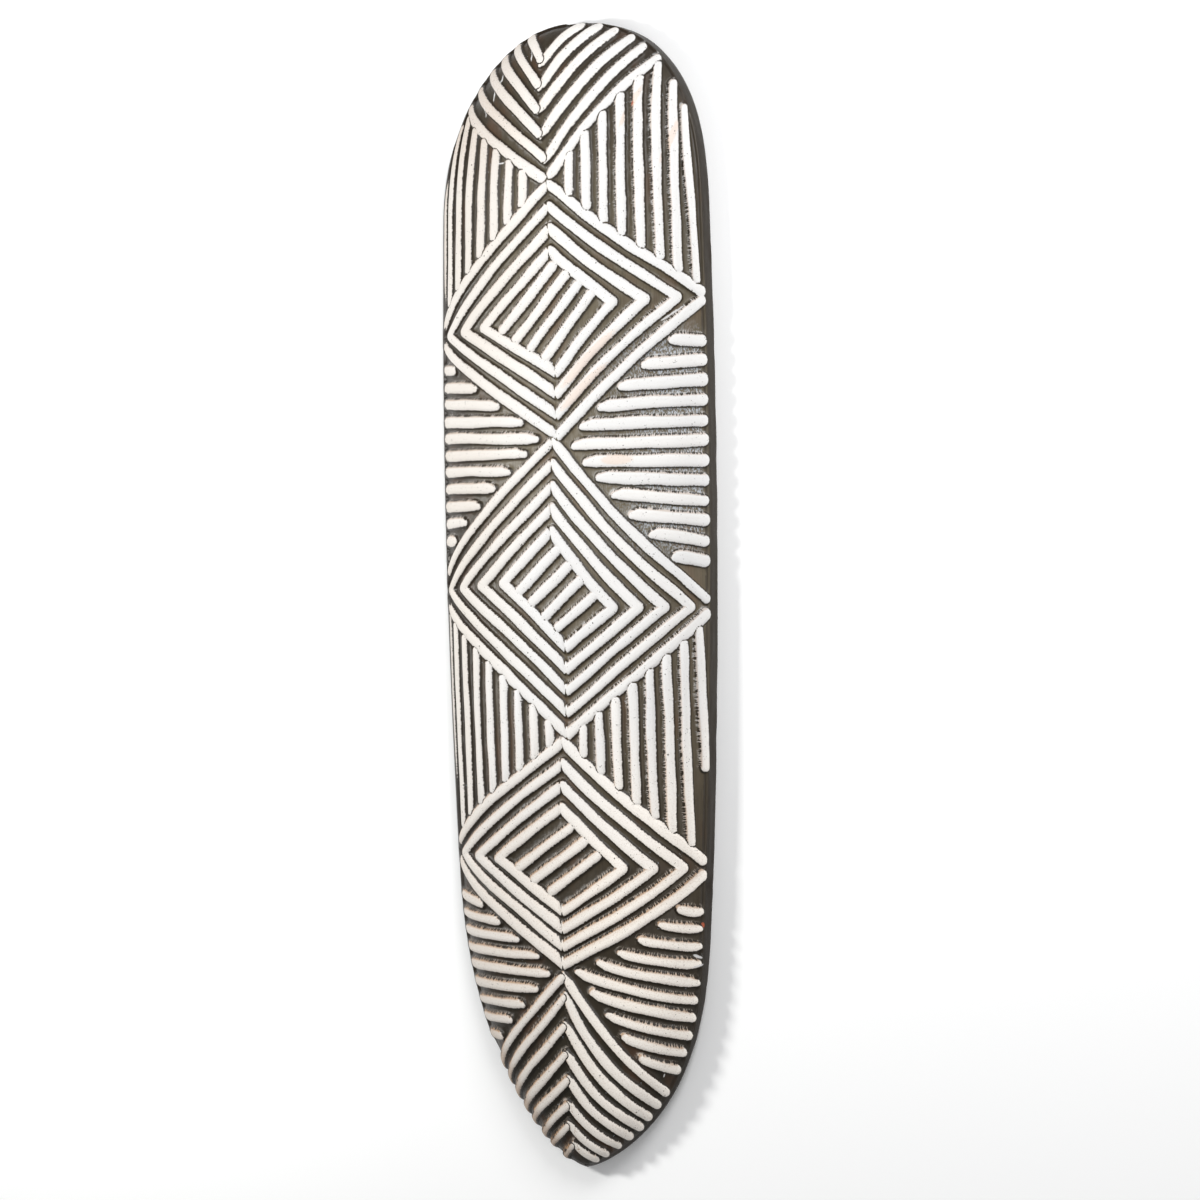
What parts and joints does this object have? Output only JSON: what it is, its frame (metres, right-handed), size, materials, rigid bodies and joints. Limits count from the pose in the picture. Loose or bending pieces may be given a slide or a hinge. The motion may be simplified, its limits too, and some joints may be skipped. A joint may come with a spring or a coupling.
{
  "type": "carved wooden shield",
  "caption": "Long domed wooden shield with a rounded head and pointed foot, its face carved all over with diamonds, chevrons and bars, its back hollowed with a carved grip.",
  "frame": {"origin": "middle of the shield's outline, on the plane of the rim's flat underside", "axes": "+Z out of the carved face, +Y towards the rounded head, +X across to the right seen from the front"},
  "size_m": [0.2676, 1, 0.0535],
  "materials": {
    "carved_wood": "raised strokes in worn off-white clay paint on dark brown, satin, smoke-stained wood"
  },
  "bodies": {
    "root": {"shield_board": "carved_wood"}
  },
  "joints": []
}
